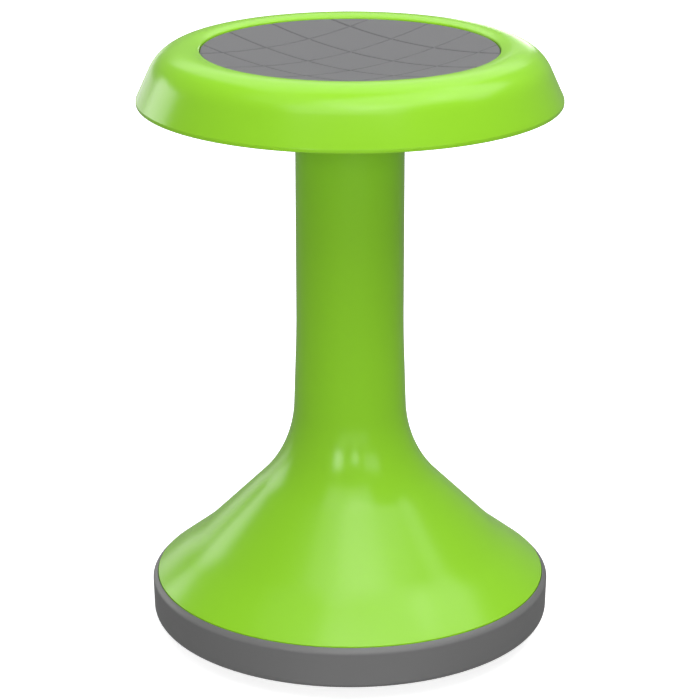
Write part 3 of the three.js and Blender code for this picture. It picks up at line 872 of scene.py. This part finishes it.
def make_camera():
    camera = bpy.data.cameras.new("camera")
    camera.lens = CAMERA_LENS
    camera.sensor_width = 36
    holder = bpy.data.objects.new("camera", camera)
    holder.location = (0, -CAMERA_DISTANCE, CAMERA_HEIGHT)
    holder.rotation_euler = (math.pi / 2 - CAMERA_PITCH, 0, 0)
    bpy.context.scene.collection.objects.link(holder)
    bpy.context.scene.camera = holder


def glowing_white_sheet():
    """Plain white floor that glows, which is painted light: its emission rises from 0.75 near the
    middle to 1.0 from 1.2 m out, so it stays white where the lamps don't reach and the object's
    real shadow shows only as a faint grey.
    """
    white = bpy.data.materials.new("glowing_white_sheet")
    white.use_nodes = True
    nodes, links = white.node_tree.nodes, white.node_tree.links
    shader = nodes["Principled BSDF"]
    shader.inputs["Base Color"].default_value = (0.8, 0.8, 0.8, 1)
    shader.inputs["Roughness"].default_value = 0.9
    shader.inputs["Emission Color"].default_value = (1, 1, 1, 1)
    where = nodes.new("ShaderNodeTexCoord")
    distance = nodes.new("ShaderNodeVectorMath")
    distance.operation = "LENGTH"
    links.new(where.outputs["Object"], distance.inputs[0])
    # painted light: the floor's glow, weaker near the middle where the object's shadow falls, full
    # from 1.2 m out
    glow = nodes.new("ShaderNodeMapRange")
    glow.inputs["From Min"].default_value = 0.2
    glow.inputs["From Max"].default_value = 1.2
    glow.inputs["To Min"].default_value = 0.75
    glow.inputs["To Max"].default_value = 1.0
    links.new(distance.outputs["Value"], glow.inputs["Value"])
    links.new(glow.outputs["Result"], shader.inputs["Emission Strength"])
    return white


def make_cove():
    """A studio cove: the floor, curving up into a wall all round, kept out of reflections."""
    reach, height, bend, depth = 7, 6, 1.5, 0.05
    top = -0.3 * MM
    cove = turned("cove", [
        (0, top),
        (reach, top, bend, 12),
        (reach, height),
        (reach + depth, height),
        (reach + depth, top - depth),
        (0, top - depth),
    ], 96)
    cove.data.shade_smooth()
    cove.data.materials.append(glowing_white_sheet())
    cove.visible_glossy = False
    cove.visible_diffuse = False
    cove.visible_shadow = False


LIGHT_AIM = Vector((0, 0, 0.25))


def softbox(name, bearing, height, size, radiance, reach=2.3):
    """A softbox seen from the stool at a bearing (0 in front, 90 at the right) and a height,
    both in degrees. Its power follows from its size and radiance."""
    bearing, height = math.radians(bearing), math.radians(height)
    away = Vector((math.sin(bearing) * math.cos(height), -math.cos(bearing) * math.cos(height),
                   math.sin(height)))
    light = bpy.data.lights.new(name, "AREA")
    light.shape = "RECTANGLE"
    light.size, light.size_y = size
    light.energy = radiance * math.pi * size[0] * size[1]
    holder = bpy.data.objects.new(name, light)
    holder.location = LIGHT_AIM + away * reach
    holder.rotation_euler = (-away).to_track_quat("-Z", "Y").to_euler()
    holder.visible_camera = False
    bpy.context.scene.collection.objects.link(holder)


def make_light():
    world = bpy.data.worlds.new("studio")
    bpy.context.scene.world = world
    world.use_nodes = True
    background = world.node_tree.nodes["Background"]
    background.inputs["Color"].default_value = (1, 1, 1, 1)
    background.inputs["Strength"].default_value = 0.28
    softbox("key", -21, 16, (0.52, 0.58), 7.6)
    softbox("front", 9, 15, (0.42, 0.34), 6.7)
    softbox("front_right", 38, 18, (1.0, 0.5), 2.4)
    softbox("front_low", 8, -1, (2.4, 0.45), 0.95)
    softbox("floor_bounce", 8, -55, (2.4, 1.2), 1.0)
    softbox("front_high", -2, 54, (2.2, 1.0), 1.9)
    softbox("top", 40, 70, (1.9, 1.3), 2.3)
    softbox("top_left", -60, 68, (1.4, 1.2), 0.6)
    softbox("right", 104, 52, (1.3, 1.0), 2.3)
    softbox("left_broad", -124, 13, (0.95, 0.6), 2.7)
    softbox("left_rear", -146, 0, (1.8, 0.5), 1.0)
    softbox("rear", 180, 42, (2.2, 1.3), 1.0)
    softbox("rear_high", 178, 68, (2.0, 1.0), 1.1)
    softbox("rear_spark", 170, 8, (0.4, 0.3), 3.2)


def main():
    make_camera()
    make_cove()
    make_light()
    view = bpy.context.scene.view_settings
    view.view_transform = "Standard"
    seat_shell()
    seat_pad()
    pad_foam()
    pad_backing_plate()
    pedestal_shell()
    base_plate()
    ballast_disc()
    rubber_foot()
    fasteners()
    for piece in bpy.data.objects:
        if "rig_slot" in piece:
            paint(piece, piece["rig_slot"])
    for part in frame["record"]["subparts"]:
        paint(frame["nodes"][part["node"]], part["material_slot"])


main()
